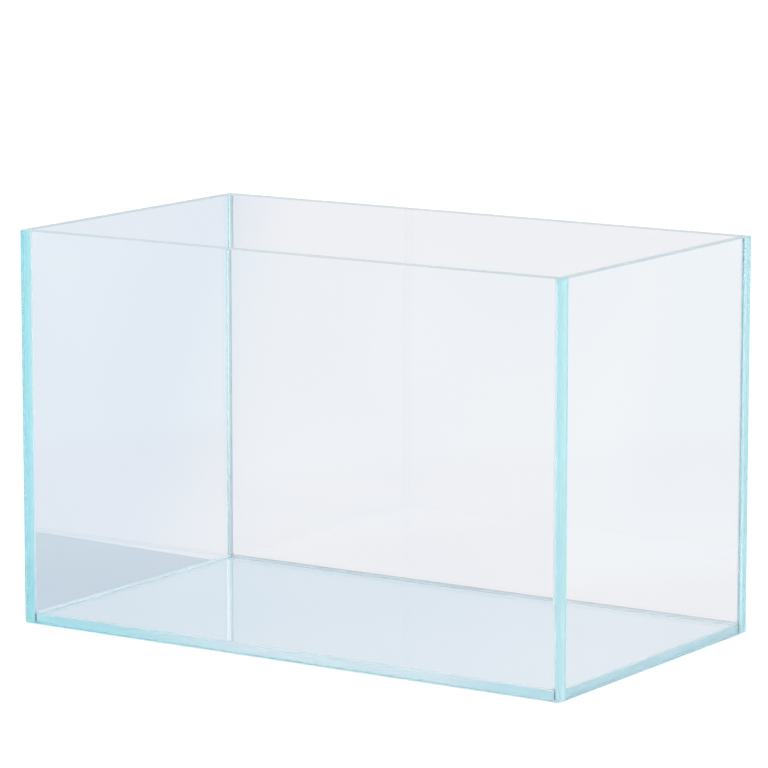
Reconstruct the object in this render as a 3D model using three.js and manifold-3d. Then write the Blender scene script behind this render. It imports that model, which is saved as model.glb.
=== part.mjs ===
// Rimless glass aquarium tank: five panes of low-iron float glass with ground edges, joined by
// clear silicone. The front and rear panes run the full length and the full height. The side
// panes stand between them, and the floor pane lies inside all four walls, level with their
// lower edges.
// Millimetres, +Z up, +X along the length, the front face towards -Y. The origin is under the
// middle of the tank, on the surface that it stands on.
import * as THREE from "three";
import { mergeVertices } from "three/addons/utils/BufferGeometryUtils.js";
import Module from "manifold-3d";

// Outer size of the tank
const LENGTH = 350;
const DEPTH = 200;
const HEIGHT = 222;

// Glass: plate thickness, and the 45 degree arris ground along every edge
const GLASS = 5;
const ARRIS = 0.5;

// Silicone: the layer between a pane's edge and the face that it is bonded to, the leg of the
// bead smoothed into each inner corner, and the radius of the bead's hollow face
const BOND = 0.5;
const BEAD_LEG = 1.25;
const BEAD_RADIUS = 1.25 * BEAD_LEG;
const BEAD_SEGMENTS = 8;

// Half the clear length and depth between the walls
const INNER_X = LENGTH / 2 - GLASS;
const INNER_Y = DEPTH / 2 - GLASS;
const QUARTER_TURN = Math.PI / 2;

const wasm = await Module();
wasm.setup();

function glassMaterial() {
  return new THREE.MeshStandardMaterial({
    color: 0xd6eef3,
    roughness: 0.04,
    metalness: 0,
    transparent: true,
    opacity: 0.35,
  });
}

function siliconeMaterial() {
  return new THREE.MeshStandardMaterial({
    color: 0xd3dade,
    roughness: 0.35,
    metalness: 0,
    transparent: true,
    opacity: 0.75,
  });
}

// A pane lying in the local XY plane, centred on its outline, from z = 0 up to the plate's
// thickness, with an arris along every edge of both faces.
function pane(name, width, height) {
  const outline = new THREE.Shape([
    new THREE.Vector2(-width / 2, -height / 2),
    new THREE.Vector2(width / 2, -height / 2),
    new THREE.Vector2(width / 2, height / 2),
    new THREE.Vector2(-width / 2, height / 2),
  ]);
  const geometry = new THREE.ExtrudeGeometry(outline, {
    depth: GLASS - 2 * ARRIS,
    bevelThickness: ARRIS,
    bevelSize: ARRIS,
    bevelOffset: -ARRIS,
    bevelSegments: 1,
  });
  geometry.translate(0, 0, ARRIS);
  const mesh = new THREE.Mesh(geometry, glassMaterial());
  mesh.name = name;
  return mesh;
}

// Stands a pane across the tank's depth, its thickness running from y towards -Y.
function standFacingFront(mesh, y) {
  mesh.rotation.x = QUARTER_TURN;
  mesh.position.set(0, y, HEIGHT / 2);
  return mesh;
}

// Stands a pane across the tank's length, its thickness running from x towards +X.
function standFacingSide(mesh, x) {
  mesh.rotation.set(QUARTER_TURN, QUARTER_TURN, 0);
  mesh.position.set(x, 0, HEIGHT / 2);
  return mesh;
}

// Seam sections are drawn as (out, over): out is the distance from the bonded face, and over is
// the distance past the inner face of the pane that butts against it, so the bond layer has
// over < 0 and the bead has over > 0.
function bondOutline() {
  return [
    [0, ARRIS - GLASS],
    [BOND, ARRIS - GLASS],
    [BOND, -ARRIS],
    [BOND + ARRIS, 0],
  ];
}

// The bead's section, from its foot on the butting pane, round the hollow face, to its foot on
// the bonded face.
function beadOutline() {
  const chord = BEAD_LEG * Math.SQRT2;
  const toCentre = Math.sqrt(BEAD_RADIUS ** 2 - (chord / 2) ** 2);
  const centre = BEAD_LEG / 2 + toCentre / Math.SQRT2;
  const hollow = new THREE.EllipseCurve(
    centre,
    centre,
    BEAD_RADIUS,
    BEAD_RADIUS,
    Math.atan2(-centre, BEAD_LEG - centre),
    Math.atan2(BEAD_LEG - centre, -centre),
    true,
  );
  const between = hollow.getPoints(BEAD_SEGMENTS).slice(1, -1);
  return [[BEAD_LEG, 0], ...between.map((p) => [p.x, p.y]), [0, BEAD_LEG]];
}

function shapeOf(points) {
  return new THREE.Shape(points.map(([x, y]) => new THREE.Vector2(x, y)));
}

// A geometry as a manifold-3d solid, its equal vertices merged.
function solidOf(geometry) {
  geometry.deleteAttribute("normal");
  geometry.deleteAttribute("uv");
  const merged = mergeVertices(geometry);
  return new wasm.Manifold(
    new wasm.Mesh({
      numProp: 3,
      vertProperties: merged.attributes.position.array,
      triVerts: new Uint32Array(merged.index.array),
    }),
  );
}

function geometryOf(solid) {
  const mesh = solid.getMesh();
  const geometry = new THREE.BufferGeometry();
  geometry.setAttribute("position", new THREE.BufferAttribute(mesh.vertProperties, 3));
  geometry.setIndex(new THREE.BufferAttribute(mesh.triVerts, 1));
  geometry.computeVertexNormals();
  return geometry;
}

// A section drawn in plan at one corner of the tank, extruded from one height to another.
function cornerPrism(section, sideX, sideY, from, to) {
  const plan = section.map(([out, over]) => [sideX * (INNER_X - over), sideY * (INNER_Y - out)]);
  const geometry = new THREE.ExtrudeGeometry(shapeOf(plan), {
    depth: to - from,
    bevelEnabled: false,
  });
  geometry.translate(0, 0, from);
  return geometry;
}

// The upright seam between a side pane's edge and the inner face of the front or rear pane. Its
// bond layer runs the full height, and its bead starts above the beads round the floor.
function cornerSeam(name, sideX, sideY) {
  const bondSection = [...bondOutline(), [0, 0]];
  const beadSection = [[0, 0], ...beadOutline()];
  const top = HEIGHT - ARRIS;
  const bond = solidOf(cornerPrism(bondSection, sideX, sideY, ARRIS, top));
  const bead = solidOf(cornerPrism(beadSection, sideX, sideY, GLASS + BEAD_LEG, top));
  const mesh = new THREE.Mesh(geometryOf(bond.add(bead)), siliconeMaterial());
  mesh.name = name;
  return mesh;
}

// The level seam between the floor pane's edge and one wall, with ends mitred to meet the seams
// beside it. It is made for the left wall and turned about +Z to its own.
function floorSeam(name, wallDistance, length, quarterTurns) {
  const section = shapeOf([...bondOutline(), ...beadOutline()]);
  const geometry = new THREE.ExtrudeGeometry(section, { depth: length, bevelEnabled: false });
  const position = geometry.attributes.position;
  for (let i = 0; i < position.count; i++) {
    const out = position.getX(i);
    position.setZ(i, position.getZ(i) === 0 ? out : length - out);
  }
  const mesh = new THREE.Mesh(geometry, siliconeMaterial());
  mesh.name = name;
  mesh.rotation.x = QUARTER_TURN;
  mesh.position.set(-wallDistance, length / 2, GLASS);
  const turned = new THREE.Group();
  turned.rotation.z = quarterTurns * QUARTER_TURN;
  turned.add(mesh);
  return turned;
}

const walls = new THREE.Group();
const sideWidth = 2 * (INNER_Y - BOND);
walls.add(
  standFacingFront(pane("front_pane", LENGTH, HEIGHT), -INNER_Y),
  standFacingFront(pane("rear_pane", LENGTH, HEIGHT), DEPTH / 2),
  standFacingSide(pane("left_pane", sideWidth, HEIGHT), -LENGTH / 2),
  standFacingSide(pane("right_pane", sideWidth, HEIGHT), INNER_X),
);

const floor = new THREE.Group();
floor.add(pane("floor_pane", 2 * (INNER_X - BOND), 2 * (INNER_Y - BOND)));

const cornerSeams = new THREE.Group();
cornerSeams.add(
  cornerSeam("front_left_seam", -1, -1),
  cornerSeam("front_right_seam", 1, -1),
  cornerSeam("rear_left_seam", -1, 1),
  cornerSeam("rear_right_seam", 1, 1),
);

const floorSeams = new THREE.Group();
floorSeams.add(
  floorSeam("left_floor_seam", INNER_X, 2 * INNER_Y, 0),
  floorSeam("front_floor_seam", INNER_Y, 2 * INNER_X, 1),
  floorSeam("right_floor_seam", INNER_X, 2 * INNER_Y, 2),
  floorSeam("rear_floor_seam", INNER_Y, 2 * INNER_X, 3),
);

const tank = new THREE.Group();
tank.add(walls, floor, cornerSeams, floorSeams);

export default tank;
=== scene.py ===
"""Looks of the rimless glass aquarium tank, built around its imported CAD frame. Metres, +Z up.

Each pane is a closed mesh with polished faces and ground edges. Each silicone seam is a closed
mesh with a bond layer between the glass and a hollow bead in the inner corner.
"""

import math

import bmesh
import bpy
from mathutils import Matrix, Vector
from mathutils import noise


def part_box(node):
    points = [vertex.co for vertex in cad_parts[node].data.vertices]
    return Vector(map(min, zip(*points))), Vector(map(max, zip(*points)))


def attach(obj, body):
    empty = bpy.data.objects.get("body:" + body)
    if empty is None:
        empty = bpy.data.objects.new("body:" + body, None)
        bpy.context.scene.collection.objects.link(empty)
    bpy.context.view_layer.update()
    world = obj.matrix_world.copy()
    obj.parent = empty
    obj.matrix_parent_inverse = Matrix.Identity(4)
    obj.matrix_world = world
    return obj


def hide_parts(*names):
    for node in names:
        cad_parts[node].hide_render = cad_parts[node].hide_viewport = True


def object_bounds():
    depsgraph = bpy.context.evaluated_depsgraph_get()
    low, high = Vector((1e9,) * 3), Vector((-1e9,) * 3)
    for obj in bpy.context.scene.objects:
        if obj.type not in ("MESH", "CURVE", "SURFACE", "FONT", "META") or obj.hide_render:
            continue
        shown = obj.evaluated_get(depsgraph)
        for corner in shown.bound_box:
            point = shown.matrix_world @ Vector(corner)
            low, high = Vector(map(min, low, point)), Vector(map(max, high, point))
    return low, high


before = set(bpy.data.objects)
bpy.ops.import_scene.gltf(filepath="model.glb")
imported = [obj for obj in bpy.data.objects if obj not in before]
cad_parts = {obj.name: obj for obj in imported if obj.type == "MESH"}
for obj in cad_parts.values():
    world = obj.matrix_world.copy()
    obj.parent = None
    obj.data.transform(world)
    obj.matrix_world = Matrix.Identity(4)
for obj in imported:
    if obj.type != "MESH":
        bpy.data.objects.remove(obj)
CAD_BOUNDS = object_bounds()
LOW, HIGH = (Vector(corner) for corner in CAD_BOUNDS)
CENTRE = (LOW + HIGH) / 2
LENGTH, DEPTH, HEIGHT = HIGH - LOW
MM = 0.001

# ---------------------------------------------------------------- camera

AZIMUTH = math.radians(33.39)
ELEVATION = math.radians(9.5)
CAMERA_DISTANCE = 6.964 * LENGTH
FOCAL_LENGTH_MM = 206.3
SENSOR_MM = 36.0
AIM_RIGHT = 0.0004 * LENGTH
AIM_UP = 0.0749 * LENGTH
NEAREST_SEEN = 0.05
FARTHEST_SEEN = 100


def make_camera():
    towards_camera = Vector((
        math.sin(AZIMUTH) * math.cos(ELEVATION),
        -math.cos(AZIMUTH) * math.cos(ELEVATION),
        math.sin(ELEVATION),
    ))
    right = Vector((math.cos(AZIMUTH), math.sin(AZIMUTH), 0))
    up = towards_camera.cross(right)
    data = bpy.data.cameras.new("camera")
    data.sensor_width = SENSOR_MM
    data.lens = FOCAL_LENGTH_MM
    data.clip_start = NEAREST_SEEN
    data.clip_end = FARTHEST_SEEN
    camera = bpy.data.objects.new("camera", data)
    bpy.context.scene.collection.objects.link(camera)
    target = CENTRE + right * AIM_RIGHT + up * AIM_UP
    camera.location = target + towards_camera * CAMERA_DISTANCE
    camera.rotation_euler = towards_camera.to_track_quat("Z", "Y").to_euler()
    bpy.context.scene.camera = camera


# ---------------------------------------------------------------- node helpers


class Graph:
    """A material's or world's node tree, with short calls that add and link nodes."""

    def __init__(self, tree):
        self.tree = tree
        tree.nodes.clear()

    def add(self, kind, **settings):
        node = self.tree.nodes.new(kind)
        for key, value in settings.items():
            setattr(node, key, value)
        return node

    def feed(self, socket, value):
        """Links an output to the socket, or sets the socket's own value."""
        if isinstance(value, bpy.types.NodeSocket):
            self.tree.links.new(value, socket)
        elif isinstance(value, tuple) and socket.type == "RGBA":
            socket.default_value = (*value, 1)
        else:
            socket.default_value = value

    def math(self, operation, a, b=0.0):
        node = self.add("ShaderNodeMath", operation=operation)
        self.feed(node.inputs[0], a)
        self.feed(node.inputs[1], b)
        return node.outputs[0]

    def ramp(self, value, low, high, to_low=0.0, to_high=1.0):
        """Smoothly maps low..high to to_low..to_high and holds the ends."""
        node = self.add("ShaderNodeMapRange", interpolation_type="SMOOTHSTEP")
        for name, number in zip(("Value", "From Min", "From Max", "To Min", "To Max"),
                                (value, low, high, to_low, to_high)):
            self.feed(node.inputs[name], number)
        return node.outputs["Result"]

    def mix_colour(self, factor, a, b):
        node = self.add("ShaderNodeMix", data_type="RGBA")
        inputs = [i for i in node.inputs if i.type == "RGBA"]
        self.feed(node.inputs[0], factor)
        self.feed(inputs[0], a)
        self.feed(inputs[1], b)
        return [o for o in node.outputs if o.type == "RGBA"][0]

    def position(self):
        """The shaded point, in the frame's own metres."""
        return self.add("ShaderNodeNewGeometry").outputs["Position"]

    def split(self, vector):
        node = self.add("ShaderNodeSeparateXYZ")
        self.feed(node.inputs[0], vector)
        return node.outputs["X"], node.outputs["Y"], node.outputs["Z"]

    def noise(self, scale, detail, seed=0.0):
        """Noise in the frame's own metres. The seed shifts it, so that two noises differ."""
        mapping = self.add("ShaderNodeMapping")
        self.feed(mapping.inputs["Vector"], self.position())
        mapping.inputs["Location"].default_value = (seed, 1.7 * seed, 0.6 * seed)
        node = self.add("ShaderNodeTexNoise")
        self.feed(node.inputs["Vector"], mapping.outputs["Vector"])
        node.inputs["Scale"].default_value = scale
        node.inputs["Detail"].default_value = detail
        return node.outputs["Fac"]

    def bump(self, height, distance, strength):
        node = self.add("ShaderNodeBump")
        self.feed(node.inputs["Height"], height)
        node.inputs["Distance"].default_value = distance
        node.inputs["Strength"].default_value = strength
        return node.outputs["Normal"]

    def by_ray(self, for_camera, for_others):
        """One shader where the camera looks straight at it, and another for all other rays."""
        node = self.add("ShaderNodeMixShader")
        self.feed(node.inputs["Fac"], self.add("ShaderNodeLightPath").outputs["Is Camera Ray"])
        self.feed(node.inputs[1], for_others)
        self.feed(node.inputs[2], for_camera)
        return node.outputs[0]


def new_material(name):
    material = bpy.data.materials.new(name)
    material.use_nodes = True
    graph = Graph(material.node_tree)
    output = graph.add("ShaderNodeOutputMaterial")
    shader = graph.add("ShaderNodeBsdfPrincipled")
    graph.feed(output.inputs["Surface"], shader.outputs[0])
    return material, graph, shader, output


# ---------------------------------------------------------------- materials

# The part of a noise's range that is used: nearly all of it, or its middle for more contrast
FULL_RANGE = (0.3, 0.7)
MIDDLE_RANGE = (0.35, 0.65)

# Low-iron float glass: the two tints that its faces drift between, how rough wiping leaves
# them, and what the plate absorbs
GLASS_IOR = 1.52
FACE_TINTS = ((0.965, 0.978, 0.99), (0.985, 0.992, 0.998))
TINT_SCALE = 6
WIPING_SCALE = 25
WIPED_RANGE = (0.45, 0.8)
WIPED_ROUGHNESS = 0.02
ABSORPTION = (0.0, 0.80, 0.92)
ABSORPTION_DENSITY = 0.5

# Ground edges: where along X their painted light changes colour, how far those places wander,
# the wheel's grain, and the paler specks in it
LEFT_CHANGE = (-0.16, -0.03)
RIGHT_CHANGE = (0.06, 0.15)
WANDER = 0.02
WANDER_SCALE = 9
EDGE_ROUGHNESS = (0.32, 0.5)
GRAIN_SCALE = 1500
GRAIN_DEPTH = 0.01 * MM
GRAIN_STRENGTH = 0.25
SPECK_COLOUR = (0.93, 0.97, 0.98)
SPECK_SHARE = 0.15

# Silicone: its cloudiness, its satin and the faint waves in its skin
SILICONE_IOR = 1.41
CLOUD_SCALE = 60
SILICONE_ROUGHNESS = (0.05, 0.12)
SATIN_SCALE = 300
WAVE_SCALE = 250
WAVE_DEPTH = 0.05 * MM
WAVE_STRENGTH = 0.15


def float_glass():
    """Polished faces of low-iron float glass, with the faintest drift of tint and of wiping."""
    material, graph, shader, output = new_material("float_glass")
    drift = graph.ramp(graph.noise(TINT_SCALE, detail=1), *MIDDLE_RANGE)
    wiping = graph.noise(WIPING_SCALE, detail=3, seed=3)
    roughness = graph.ramp(wiping, *WIPED_RANGE, 0.0, WIPED_ROUGHNESS)
    graph.feed(shader.inputs["Base Color"], graph.mix_colour(drift, *FACE_TINTS))
    graph.feed(shader.inputs["Roughness"], roughness)
    shader.inputs["IOR"].default_value = GLASS_IOR
    shader.inputs["Transmission Weight"].default_value = 1.0
    volume = graph.add("ShaderNodeVolumeAbsorption")
    graph.feed(volume.inputs["Color"], ABSORPTION)
    volume.inputs["Density"].default_value = ABSORPTION_DENSITY
    graph.feed(output.inputs["Volume"], volume.outputs[0])
    return material


def ground_glass(name, left, middle, right, clearness, roughness=EDGE_ROUGHNESS):
    """A ground edge, finely frosted by the wheel. Its colour is painted light: the cyan of the
    light that runs along the panes and comes out at the edge, so its colour changes from the
    tank's left end to its right end.
    clearness is the share of light that passes through the frosting."""
    material, graph, shader, _ = new_material(name)
    x, _, _ = graph.split(graph.position())
    wander = graph.noise(WANDER_SCALE, detail=1, seed=2)
    along = graph.math("ADD", x, graph.ramp(wander, *FULL_RANGE, -WANDER, WANDER))
    # Painted light: the edge's colour drifts from the left end's to the right end's
    colour = graph.mix_colour(graph.ramp(along, *LEFT_CHANGE), left, middle)
    colour = graph.mix_colour(graph.ramp(along, *RIGHT_CHANGE), colour, right)
    grain = graph.ramp(graph.noise(GRAIN_SCALE, detail=2, seed=5), *FULL_RANGE)
    speck = graph.math("MULTIPLY", grain, SPECK_SHARE)
    graph.feed(shader.inputs["Base Color"], graph.mix_colour(speck, colour, SPECK_COLOUR))
    graph.feed(shader.inputs["Roughness"], graph.ramp(grain, 0.0, 1.0, *roughness))
    graph.feed(shader.inputs["Normal"], graph.bump(grain, GRAIN_DEPTH, GRAIN_STRENGTH))
    shader.inputs["IOR"].default_value = GLASS_IOR
    shader.inputs["Transmission Weight"].default_value = clearness
    return material


def silicone(name, thin, thick, clearness):
    """Aquarium silicone: satin, nearly colourless, with faint cloudiness between two colours.
    clearness is the share of light that passes through its skin."""
    material, graph, shader, _ = new_material(name)
    cloud = graph.ramp(graph.noise(CLOUD_SCALE, detail=2, seed=8), *MIDDLE_RANGE)
    satin = graph.noise(SATIN_SCALE, detail=2, seed=9)
    roughness = graph.ramp(satin, *FULL_RANGE, *SILICONE_ROUGHNESS)
    waves = graph.noise(WAVE_SCALE, detail=1, seed=10)
    graph.feed(shader.inputs["Base Color"], graph.mix_colour(cloud, thin, thick))
    graph.feed(shader.inputs["Roughness"], roughness)
    graph.feed(shader.inputs["Normal"], graph.bump(waves, WAVE_DEPTH, WAVE_STRENGTH))
    shader.inputs["IOR"].default_value = SILICONE_IOR
    shader.inputs["Transmission Weight"].default_value = clearness
    return material


# ---------------------------------------------------------------- panes

# The arris is ground by hand, so its width wavers by a small share along the edge.
ARRIS = 0.5 * MM
ARRIS_WAVER = 0.05
ARRIS_WAVER_SCALE = 18
CORNER_RADIUS = 0.8 * MM
CORNER_STEPS = 4
OUTLINE_STEP = 4 * MM

# The arris across its width: how far in from the edge and how far down from the face, as
# shares of its width. The two short facets round its shoulders.
ARRIS_PROFILE = ((1.0, 0.0), (0.74, 0.09), (0.09, 0.74), (0.0, 1.0))

# A stretch of edge belongs to a side when the cosine between their directions is above this.
SAME_SIDE = 0.9


def add_piece(name, mesh, node):
    piece = bpy.data.objects.new(name, mesh)
    bpy.context.scene.collection.objects.link(piece)
    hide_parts(node)
    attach(piece, "root")
    return piece


def rounded_outline(half_a, half_b):
    """Points and outward normals round a rectangle with small round corners."""
    corner_a, corner_b = half_a - CORNER_RADIUS, half_b - CORNER_RADIUS
    outline = []
    for turn, (sign_a, sign_b) in enumerate(((1, 1), (-1, 1), (-1, -1), (1, -1))):
        corner = Vector((sign_a * corner_a, sign_b * corner_b))
        start = turn * math.pi / 2
        for step in range(CORNER_STEPS + 1):
            angle = start + step / CORNER_STEPS * math.pi / 2
            normal = Vector((math.cos(angle), math.sin(angle)))
            outline.append((corner + normal * CORNER_RADIUS, normal))
        # The straight side that follows this corner
        length = 2 * (corner_a if turn % 2 == 0 else corner_b)
        point, normal = outline[-1]
        along = Vector((-normal.y, normal.x))
        count = round(length / OUTLINE_STEP)
        outline += [(point + along * length * i / count, normal) for i in range(1, count)]
    return outline


def make_pane(node, face_material, edges):
    """A pane in place of its CAD solid. edges are its edge materials, each with the directions
    of the sides that have it, and the first of them covers whatever the others don't."""
    low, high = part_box(node)
    size = high - low
    centre = (low + high) / 2
    thin = min(range(3), key=lambda axis: size[axis])
    axis_a, axis_b = [axis for axis in range(3) if axis != thin]
    half_thickness = size[thin] / 2

    def place(a, b, across):
        point = Vector((0, 0, 0))
        point[axis_a], point[axis_b], point[thin] = a, b, across
        return centre + point

    outline = rounded_outline(size[axis_a] / 2, size[axis_b] / 2)
    bm = bmesh.new()
    rings = []
    for side in (1, -1):
        shares = ARRIS_PROFILE if side == 1 else tuple(reversed(ARRIS_PROFILE))
        for share_in, share_down in shares:
            ring = []
            for point, normal in outline:
                spot = place(*point, side * half_thickness)
                width = ARRIS * (1 + ARRIS_WAVER * noise.noise(spot * ARRIS_WAVER_SCALE))
                inner = point - normal * width * share_in
                across = side * (half_thickness - width * share_down)
                ring.append(bm.verts.new(place(*inner, across)))
            rings.append(ring)
    count = len(outline)
    for ring, following in zip(rings, rings[1:]):
        for i in range(count):
            j = (i + 1) % count
            face = bm.faces.new((ring[i], following[i], following[j], ring[j]))
            face.smooth = True
            direction = outline[i][1]
            face.material_index = 1
            for index, (_, sides) in enumerate(edges):
                if any(direction.dot(Vector(side)) > SAME_SIDE for side in sides):
                    face.material_index = index + 1
    for ring in (rings[0], rings[-1]):
        bm.faces.new(ring).material_index = 0
    bmesh.ops.recalc_face_normals(bm, faces=bm.faces[:])
    mesh = bpy.data.meshes.new(node.replace("pane", "glass"))
    bm.to_mesh(mesh)
    bm.free()
    mesh.materials.append(face_material)
    for material, _ in edges:
        mesh.materials.append(material)
    add_piece(mesh.name, mesh, node)


# ---------------------------------------------------------------- silicone

# The plate, the bond layer between two plates, and half the clear length and depth between
# the walls
PANE = 5 * MM
BOND = 0.5 * MM
INNER_X = LENGTH / 2 - PANE
INNER_Y = DEPTH / 2 - PANE

# How far apart a seam's sections are, how sharp an edge has to be to stay sharp in its shading,
# and how near two points have to be to be made one
SEAM_STEP = 3 * MM
SHARP_ANGLE = math.radians(35)
MERGE_DISTANCE = 1e-7

# A film of air keeps the silicone off the glass, and the section widens into the joint by a
# little more than the widest arris, so that it stays clear of the pane's edge.
FILM = 0.01 * MM
WIDE_ARRIS = 0.62 * MM

# How far the bond layer's outer end is hollowed
BOND_HOLLOW = 0.12 * MM

# The bead: its leg, the radius of its hollow face as a multiple of the leg, and how much the
# leg wavers, as a finger smoothed it. BEAD_START is where its faces start in the section.
BEAD_LEG = 1.25 * MM
BEAD_RADIUS = 1.25
BEAD_SEGMENTS = 8
BEAD_START = 4
BEAD_WAVER = 0.04
BEAD_WAVER_SCALE = 30

# The foot of an upright bead: how far above the floor pane it starts, which is a little below
# the top of the floor's bead, and how it flares out there
FOOT_HEIGHT = 0.8 * BEAD_LEG
BEAD_FLARE = 0.5
FLARE_HEIGHT = 1.5 * MM
FLARE_LENGTH = 3 * FLARE_HEIGHT
FLARE_STEP = 0.3 * FLARE_HEIGHT

# How far the mitred ends of the seams round the floor reach into each other
MITRE_OVERLAP = 0.02 * MM


def seam_section(leg):
    """The seam's section as (out, over): out from the bonded face, over past the inner face of
    the pane that butts against it. It keeps FILM away from the glass all round, so that a
    renderer never finds the two surfaces in one place."""
    outer = -(PANE - ARRIS)
    points = [
        (FILM, outer),
        (BOND * 0.5, outer + BOND_HOLLOW),
        (BOND - FILM, outer),
        (BOND - FILM, -WIDE_ARRIS),
        (BOND + WIDE_ARRIS, FILM),
        (leg, FILM),
    ]
    radius = BEAD_RADIUS * leg
    chord = leg * math.sqrt(2)
    centre = leg / 2 + math.sqrt(radius ** 2 - (chord / 2) ** 2) / math.sqrt(2)
    start = math.atan2(-centre, leg - centre)
    end = math.atan2(leg - centre, -centre)
    turn = (end - start) % (2 * math.pi) - 2 * math.pi
    if turn < -math.pi:
        turn += 2 * math.pi
    for i in range(1, BEAD_SEGMENTS):
        angle = start + turn * i / BEAD_SEGMENTS
        points.append((centre + radius * math.cos(angle), centre + radius * math.sin(angle)))
    points.append((FILM, leg))
    points.append((FILM, 0))
    return points


def without_bead(section):
    """The bond layer alone: the bead's points are drawn back to the layer's inner end."""
    return [(min(out, BOND + WIDE_ARRIS), min(over, FILM)) for out, over in section]


def make_seam(node, place, stations, materials, mitred):
    """Sweeps the section along a seam. place(out, over, along) gives a point in the frame.
    stations are (along, flare, has_bead). materials are the bond's and the bead's. A mitred
    seam is cut at 45 degrees at both ends."""
    bm = bmesh.new()
    rings = []
    last = len(stations) - 1
    for i, (along, flare, has_bead) in enumerate(stations):
        middle = place(0, 0, along)
        waver = BEAD_WAVER * noise.noise(middle * BEAD_WAVER_SCALE)
        section = seam_section(BEAD_LEG * (1 + waver) * flare)
        if not has_bead:
            section = without_bead(section)
        slant = (i == 0) - (i == last) if mitred else 0
        ring = []
        for out, over in section:
            point = place(out, over, along + slant * (out - MITRE_OVERLAP))
            ring.append(bm.verts.new(point))
        rings.append(ring)
    size = len(rings[0])
    for ring, following in zip(rings, rings[1:]):
        for i in range(size):
            j = (i + 1) % size
            face = bm.faces.new((ring[i], ring[j], following[j], following[i]))
            face.smooth = True
            face.material_index = 1 if BEAD_START <= i < size - 1 else 0
    bm.faces.new(rings[0])
    bm.faces.new(list(reversed(rings[-1])))
    bmesh.ops.remove_doubles(bm, verts=bm.verts[:], dist=MERGE_DISTANCE)
    bmesh.ops.recalc_face_normals(bm, faces=bm.faces[:])
    for edge in bm.edges:
        if len(edge.link_faces) == 2 and edge.calc_face_angle() > SHARP_ANGLE:
            edge.smooth = False
    mesh = bpy.data.meshes.new(node.replace("seam", "silicone"))
    bm.to_mesh(mesh)
    bm.free()
    for material in materials:
        mesh.materials.append(material)
    add_piece(mesh.name, mesh, node)


def even_steps(start, end, step):
    count = max(1, round((end - start) / step))
    return [start + (end - start) * i / count for i in range(count + 1)]


def make_upright_seam(node, side_x, side_y, materials):
    """The seam at one upright corner. Its bond layer starts at the bottom, and its bead flares
    out where it runs into the beads round the floor."""
    bead_start = PANE + FOOT_HEIGHT
    bead_end = HEIGHT - ARRIS

    def place(out, over, along):
        return Vector((side_x * (INNER_X - over), side_y * (INNER_Y - out), along))

    def flare(along):
        return 1 + BEAD_FLARE * math.exp((bead_start - along) / FLARE_HEIGHT)

    heights = even_steps(bead_start, bead_start + FLARE_LENGTH, FLARE_STEP)
    heights += even_steps(heights[-1], bead_end, SEAM_STEP)[1:]
    stations = [(ARRIS, 1, False), (bead_start, 1, False)]
    stations += [(along, flare(along), True) for along in heights]
    make_seam(node, place, stations, materials, mitred=False)


def make_floor_seam(node, wall, length, quarter_turns, materials):
    """The level seam between the floor pane and one wall. wall is how far that wall's inner
    face is from the tank's middle. The seam is worked out for the left wall, and turned about
    +Z to its own."""
    angle = quarter_turns * math.pi / 2
    cos, sin = round(math.cos(angle)), round(math.sin(angle))

    def place(out, over, along):
        x, y = -(wall - out), length / 2 - along
        return Vector((x * cos - y * sin, x * sin + y * cos, PANE + over))

    stations = [(along, 1, True) for along in even_steps(0, length, SEAM_STEP)]
    make_seam(node, place, stations, materials, mitred=True)


# ---------------------------------------------------------------- stage and light

# The photo's surroundings are cut out to white, but what shows through the glass isn't white.
# So the camera sees a white floor and world, and rays that have met the glass see these tones.
# The camera's floor is part lit and part glowing, and both together are just over white.
WHITE = 1.15
FLOOR_GREY = 0.5
FLOOR_SIZE = 60
FLOOR_DROP = 0.5 * MM

# The backdrop behind the tank, from its left to its right across the view
BACKDROP_LEFT = (0.775, 0.81, 0.88)
BACKDROP_RIGHT = (0.893, 0.877, 0.895)
BACKDROP_CHANGE = (-0.17, -0.07)

# The brighter floor further out on both sides. From the photo's side it isn't seen through the
# tank, but the ground edges pick up its light.
BESIDE = (0.98, 1.09, 1.10)
BESIDE_CHANGE = (0.3, 0.42)

# A painted shadow on the floor to the left of the tank, seen through the glass: its rear edge
# runs back a little to the left, and it fades out further off
PAINTED_SHADOW = (0.56, 0.645, 0.73)
PAINTED_SHADOW_SKEW = math.tan(math.radians(3.8))
PAINTED_SHADOW_FADE = (-0.5, -0.34)

# What the tank stands on, seen through the floor pane, with painted shade: darker than the
# floor round it, most at the left
UNDER_LEFT = (0.58, 0.70, 0.79)
UNDER_RIGHT = (0.72, 0.78, 0.85)
UNDER_CHANGE = (-0.15, 0.15)

# The world's light: low all round, low behind the tank, which is what the floor pane mirrors
# to the camera, from a soft box at the far left, along the horizon and overhead. Each range is
# of one component of a direction, and one light gives way to another over it.
ALL_ROUND = (1.28, 1.3, 1.3)
BEHIND = (0.72, 0.78, 0.84)
BEHIND_CHANGE = (0.8, 0.95)
SOFT_BOX = (2.8, 2.95, 3.0)
SOFT_BOX_CHANGE = (-0.66, -0.82)
HORIZON = (0.80, 0.84, 0.88)
HORIZON_CHANGE = (0.06, 0.2)
OVERHEAD = (1.05, 1.06, 1.07)
OVERHEAD_CHANGE = (-0.05, 0.6)

# Light guided along a pane meets its faces many times on its way.
LONG_PATH = 128
DIFFUSE_BOUNCES = 16


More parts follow.
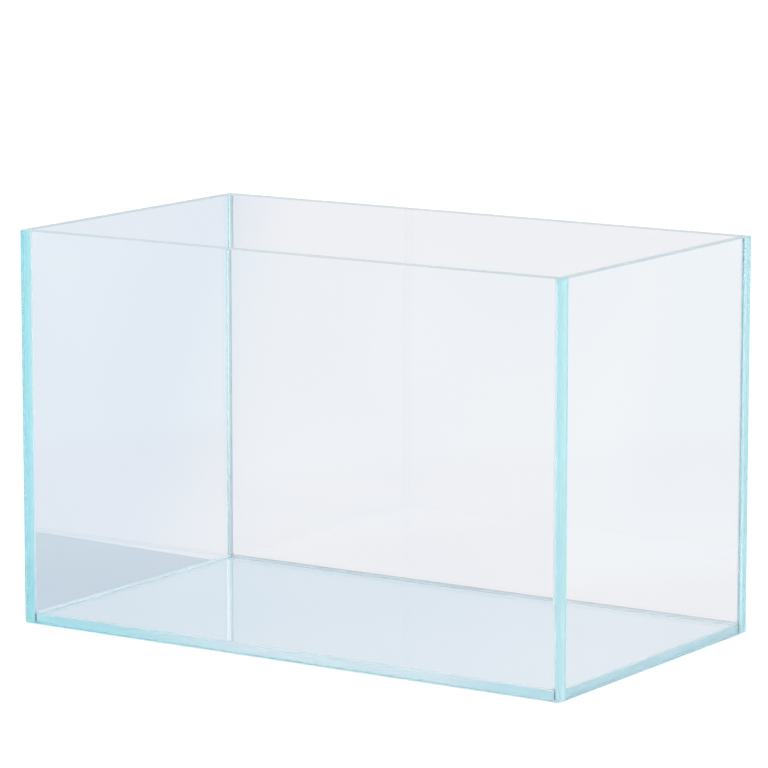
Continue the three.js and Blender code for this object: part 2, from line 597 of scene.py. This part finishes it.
def make_stage():
    """A floor that is white to the camera and has the surroundings' tones for other rays."""
    bpy.ops.mesh.primitive_plane_add(size=FLOOR_SIZE, location=(0, 0, -FLOOR_DROP))
    floor = bpy.context.object
    floor.name = "floor"
    material = bpy.data.materials.new("pale_floor")
    material.use_nodes = True
    graph = Graph(material.node_tree)
    output = graph.add("ShaderNodeOutputMaterial")

    # How far to the right a point is, as seen from the photo's side
    x, y, _ = graph.split(graph.position())
    across = graph.math("ADD", graph.math("MULTIPLY", x, math.cos(AZIMUTH)),
                        graph.math("MULTIPLY", y, math.sin(AZIMUTH)))
    backdrop = graph.ramp(across, *BACKDROP_CHANGE)
    colour = graph.mix_colour(backdrop, BACKDROP_LEFT, BACKDROP_RIGHT)
    beside = graph.ramp(graph.math("ABSOLUTE", across), *BESIDE_CHANGE)
    colour = graph.mix_colour(beside, colour, BESIDE)

    # A painted shadow: the floor left of the tank, between the front and the skewed rear line,
    # is darker
    left_of_tank = graph.math("LESS_THAN", x, -LENGTH / 2)
    rear_line = graph.math("MULTIPLY", graph.math("ADD", x, LENGTH / 2), -PAINTED_SHADOW_SKEW)
    before_rear = graph.math("LESS_THAN", graph.math("SUBTRACT", y, rear_line), DEPTH / 2)
    behind_front = graph.math("GREATER_THAN", y, -DEPTH / 2)
    near = graph.ramp(x, *PAINTED_SHADOW_FADE)
    in_painted_shadow = graph.math("MULTIPLY", graph.math("MULTIPLY", left_of_tank, before_rear), near)
    in_painted_shadow = graph.math("MULTIPLY", in_painted_shadow, behind_front)
    colour = graph.mix_colour(in_painted_shadow, colour, PAINTED_SHADOW)

    # Painted shade on the floor under the tank
    inside_x = graph.math("LESS_THAN", graph.math("ABSOLUTE", x), LENGTH / 2)
    inside_y = graph.math("LESS_THAN", graph.math("ABSOLUTE", y), DEPTH / 2)
    shade_under = graph.mix_colour(graph.ramp(across, *UNDER_CHANGE), UNDER_LEFT, UNDER_RIGHT)
    colour = graph.mix_colour(graph.math("MULTIPLY", inside_x, inside_y), colour, shade_under)

    seen_through_glass = graph.add("ShaderNodeEmission")
    graph.feed(seen_through_glass.inputs["Color"], colour)
    lit = graph.add("ShaderNodeBsdfDiffuse")
    graph.feed(lit.inputs["Color"], (FLOOR_GREY, FLOOR_GREY, FLOOR_GREY))
    glow = graph.add("ShaderNodeEmission")
    glow.inputs["Strength"].default_value = WHITE - FLOOR_GREY
    white = graph.add("ShaderNodeAddShader")
    graph.feed(white.inputs[0], lit.outputs[0])
    graph.feed(white.inputs[1], glow.outputs[0])
    surface = graph.by_ray(white.outputs[0], seen_through_glass.outputs[0])
    graph.feed(output.inputs["Surface"], surface)
    floor.data.materials.append(material)


def make_light():
    """A world that is white to the camera and lights the tank softly from all round."""
    scene = bpy.context.scene
    world = bpy.data.worlds.new("studio")
    scene.world = world
    world.use_nodes = True
    graph = Graph(world.node_tree)
    output = graph.add("ShaderNodeOutputWorld")
    x, y, z = graph.split(graph.add("ShaderNodeTexCoord").outputs["Generated"])
    # How nearly a direction points straight away from the photo's side
    away = graph.math("SUBTRACT", graph.math("MULTIPLY", y, math.cos(AZIMUTH)),
                      graph.math("MULTIPLY", x, math.sin(AZIMUTH)))
    low = graph.mix_colour(graph.ramp(away, *BEHIND_CHANGE), ALL_ROUND, BEHIND)
    low = graph.mix_colour(graph.ramp(x, *SOFT_BOX_CHANGE), low, SOFT_BOX)
    low = graph.mix_colour(graph.ramp(z, *HORIZON_CHANGE), HORIZON, low)
    light = graph.mix_colour(graph.ramp(z, *OVERHEAD_CHANGE), low, OVERHEAD)
    around = graph.add("ShaderNodeBackground")
    graph.feed(around.inputs["Color"], light)
    white = graph.add("ShaderNodeBackground")
    graph.feed(white.inputs["Color"], (1, 1, 1))
    white.inputs["Strength"].default_value = WHITE
    graph.feed(output.inputs["Surface"], graph.by_ray(white.outputs[0], around.outputs[0]))
    scene.view_settings.view_transform = "Standard"
    scene.cycles.blur_glossy = 0
    scene.cycles.max_bounces = LONG_PATH
    scene.cycles.transmission_bounces = LONG_PATH
    scene.cycles.glossy_bounces = LONG_PATH
    scene.cycles.diffuse_bounces = DIFFUSE_BOUNCES


# ---------------------------------------------------------------- the tank

make_camera()

polished = float_glass()

# Painted light: each edge's colours below stand for the light that runs along the panes and
# comes out at that edge, the deep cyan ones for light that has run a pane's length
# The ends and the bottom edges of the front pane, and the side panes' bottom edges
ground = ground_glass(
    "ground_edge",
    left=(0.32, 0.96, 0.985),
    middle=(0.66, 0.95, 0.98),
    right=(0.84, 0.98, 0.99),
    clearness=0.9,
)
# The rear pane's ends and bottom edge, and the right pane's edge that is bonded to it
rear_ground = ground_glass(
    "rear_ground_edge",
    left=(0.87, 0.95, 0.97),
    middle=(0.66, 0.95, 0.98),
    right=(0.38, 0.88, 0.94),
    clearness=0.9,
)
# The dry top edges, which pass less light. Their grey is painted shade, darker than the ends
rim = ground_glass(
    "rim_edge",
    left=(0.57, 0.63, 0.66),
    middle=(0.61, 0.65, 0.67),
    right=(0.55, 0.62, 0.66),
    clearness=0.25,
)
# The side panes' edges that are bonded to the front pane
bonded = ground_glass(
    "bonded_edge",
    left=(0.32, 0.94, 0.97),
    middle=(0.78, 0.95, 0.98),
    right=(0.70, 0.965, 0.985),
    clearness=0.9,
)
# The floor pane's front and right edges
floor_edge = ground_glass(
    "floor_edge",
    left=(0.32, 0.90, 0.94),
    middle=(0.80, 0.95, 0.98),
    right=(0.36, 0.76, 0.83),
    clearness=0.9,
)
# The edges that hardly show: the left pane's rear edge, and the floor pane's left and rear ones
faint = ground_glass(
    "faint_edge",
    left=(0.87, 0.95, 0.97),
    middle=(0.93, 0.965, 0.975),
    right=(0.90, 0.96, 0.975),
    clearness=0.88,
    roughness=(0.22, 0.3),
)

bond = silicone("clear_silicone", (0.96, 0.98, 0.99), (0.98, 0.99, 0.995), 1.0)
# The front and rear seams' beads are lit and shaded copies of one silicone: the rear ones'
# darker grey is painted shade
pale_bead = silicone("pale_silicone", (0.84, 0.90, 0.92), (0.89, 0.94, 0.96), 0.45)
shaded_bead = silicone("shaded_silicone", (0.60, 0.65, 0.68), (0.66, 0.71, 0.73), 0.4)
front_silicone = (bond, pale_bead)
rear_silicone = (bond, shaded_bead)

# Directions of a pane's sides, along its two wide axes in the order X, Y, Z
TOP = (0, 1)
FRONT = (-1, 0)
REAR = (1, 0)
FLOOR_LEFT = (-1, 0)
FLOOR_REAR = (0, 1)
make_pane("front_pane", polished, ((ground, ()), (rim, (TOP,))))
make_pane("rear_pane", polished, ((rear_ground, ()), (rim, (TOP,))))
make_pane("left_pane", polished,
          ((ground, ()), (rim, (TOP,)), (bonded, (FRONT,)), (faint, (REAR,))))
make_pane("right_pane", polished,
          ((ground, ()), (rim, (TOP,)), (bonded, (FRONT,)), (rear_ground, (REAR,))))
make_pane("floor_pane", polished, ((floor_edge, ()), (faint, (FLOOR_LEFT, FLOOR_REAR))))

for name_y, side_y, materials in (("front", -1, front_silicone), ("rear", 1, rear_silicone)):
    for name_x, side_x in (("left", -1), ("right", 1)):
        make_upright_seam(f"{name_y}_{name_x}_seam", side_x, side_y, materials)
make_floor_seam("left_floor_seam", INNER_X, 2 * INNER_Y, 0, front_silicone)
make_floor_seam("front_floor_seam", INNER_Y, 2 * INNER_X, 1, front_silicone)
make_floor_seam("right_floor_seam", INNER_X, 2 * INNER_Y, 2, front_silicone)
make_floor_seam("rear_floor_seam", INNER_Y, 2 * INNER_X, 3, rear_silicone)

make_stage()
make_light()
